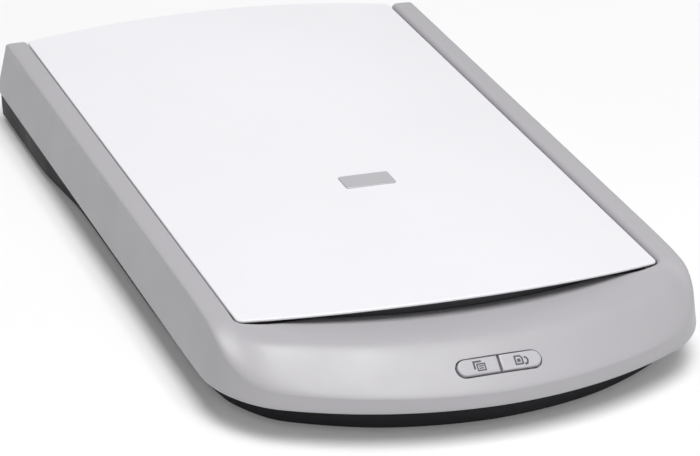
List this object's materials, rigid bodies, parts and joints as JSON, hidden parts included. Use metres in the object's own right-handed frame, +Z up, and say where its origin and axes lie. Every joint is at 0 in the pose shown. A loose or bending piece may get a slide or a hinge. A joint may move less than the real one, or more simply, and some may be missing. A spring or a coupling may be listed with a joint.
{
  "type": "flatbed scanner",
  "caption": "Low A4 flatbed document scanner with a crowned white lid on lifting hinges, grey housing, dark base, push buttons and a belt-driven optical carriage.",
  "frame": {"origin": "middle of the object's footprint, on the table its feet stand on", "axes": "+X to the right seen from the front, +Y to the rear along the length, +Z up"},
  "size_m": [0.28, 0.453, 0.0572],
  "materials": {
    "lid_white": "fine satin moulded plastic, white",
    "inner_white": "moulded plastic, off-white",
    "foam": "closed-cell foam",
    "white_sheet": "smooth white film",
    "housing_grey": "fine textured moulded plastic, light grey",
    "badge": "brushed blank plate",
    "charcoal": "textured moulded plastic, charcoal",
    "black_plastic": "black moulded plastic",
    "button": "satin light grey plastic",
    "rubber": "matt rubber",
    "steel": "bright ground steel",
    "zinc": "zinc-plated steel",
    "glass": "clear polished float glass",
    "lamp": "white coated lamp glass",
    "mirror": "front-surface mirror",
    "board": "green solder mask",
    "acetal": "natural white acetal",
    "bronze": "sintered bronze",
    "cable": "white flat cable",
    "lens": "black anodised barrel"
  },
  "bodies": {
    "base": {"base_tub": "charcoal", "upper_housing": "housing_grey", "platen_glass": "glass", "size_guide_strip": "white_sheet", "calibration_strip": "white_sheet", "button_board": "board", "left_switch": "black_plastic", "right_switch": "black_plastic", "front_left_foot": "rubber", "front_right_foot": "rubber", "rear_left_foot": "rubber", "rear_right_foot": "rubber", "front_left_screw": "steel", "front_right_screw": "steel", "rear_left_screw": "steel", "rear_right_screw": "steel", "guide_rod": "steel", "front_rod_bracket": "zinc", "rear_rod_bracket": "zinc", "stepper_motor": "zinc", "idler_bracket": "zinc", "drive_belt": "rubber", "main_board": "board", "usb_socket": "zinc", "power_jack": "black_plastic", "fixed_flat_cable": "cable", "moving_flat_cable": "cable"},
    "hinge_posts": {"left_hinge_post": "acetal", "right_hinge_post": "acetal"},
    "lid": {"lid_shell": "lid_white", "lid_liner": "inner_white", "foam_pad": "foam", "backing_sheet": "white_sheet", "badge_plate": "badge", "left_hinge_bracket": "inner_white", "right_hinge_bracket": "inner_white", "left_hinge_pin": "steel", "right_hinge_pin": "steel"},
    "carriage": {"carriage_frame": "black_plastic", "carriage_cover": "black_plastic", "front_rod_bush": "bronze", "rear_rod_bush": "bronze", "glide_shoe": "acetal", "belt_clamp": "acetal", "lamp_tube": "lamp", "left_lamp_holder": "rubber", "right_lamp_holder": "rubber", "lamp_reflector": "steel", "first_mirror": "mirror", "second_mirror": "mirror", "third_mirror": "mirror", "lens_barrel": "lens", "sensor_board": "board", "line_sensor": "black_plastic"},
    "drive": {"drive_gear": "acetal"},
    "reduction": {"reduction_gear": "acetal"},
    "pinion": {"motor_pinion": "zinc"},
    "idler": {"idler_pulley": "acetal"},
    "button_left": {"left_button": "button"},
    "button_right": {"right_button": "button"}
  },
  "joints": [
    {"name": "hinge_lift", "type": "slide", "parent": "base", "child": "hinge_posts", "axis": [0, 0, 1], "range_m": [0, 0.02]},
    {"name": "lid_hinge", "type": "hinge", "parent": "hinge_posts", "child": "lid", "pos_m": [0, 0.2215, 0.044], "axis": [-1, 0, 0], "range_deg": [0, 80]},
    {"name": "carriage_travel", "type": "slide", "parent": "base", "child": "carriage", "axis": [0, 1, 0], "range_m": [0, 0.305], "deforming": ["moving_flat_cable"]},
    {"name": "left_button_press", "type": "slide", "parent": "base", "child": "button_left", "axis": [0, 0.5999, -0.8001], "range_m": [0, 0.001], "stiffness_N_per_m": 400},
    {"name": "right_button_press", "type": "slide", "parent": "base", "child": "button_right", "axis": [0, 0.5999, -0.8001], "range_m": [0, 0.001], "stiffness_N_per_m": 400},
    {"name": "drive_spin", "type": "hinge", "parent": "base", "child": "drive", "pos_m": [-0.086, -0.177, 0], "axis": [0, 0, 1], "continuous": true},
    {"name": "reduction_spin", "type": "hinge", "parent": "base", "child": "reduction", "pos_m": [-0.07085, -0.18251, 0], "axis": [0, 0, 1], "continuous": true},
    {"name": "pinion_spin", "type": "hinge", "parent": "base", "child": "pinion", "pos_m": [-0.05515, -0.18614, 0], "axis": [0, 0, 1], "continuous": true},
    {"name": "idler_spin", "type": "hinge", "parent": "base", "child": "idler", "pos_m": [-0.086, 0.197, 0], "axis": [0, 0, 1], "continuous": true}
  ],
  "couplings": [
    {"joint": "drive_spin", "follows": "carriage_travel", "rad_per_m": -172.41},
    {"joint": "idler_spin", "follows": "carriage_travel", "rad_per_m": -172.41},
    {"joint": "reduction_spin", "follows": "carriage_travel", "rad_per_m": 517.24},
    {"joint": "pinion_spin", "follows": "carriage_travel", "rad_per_m": -1551.7}
  ]
}
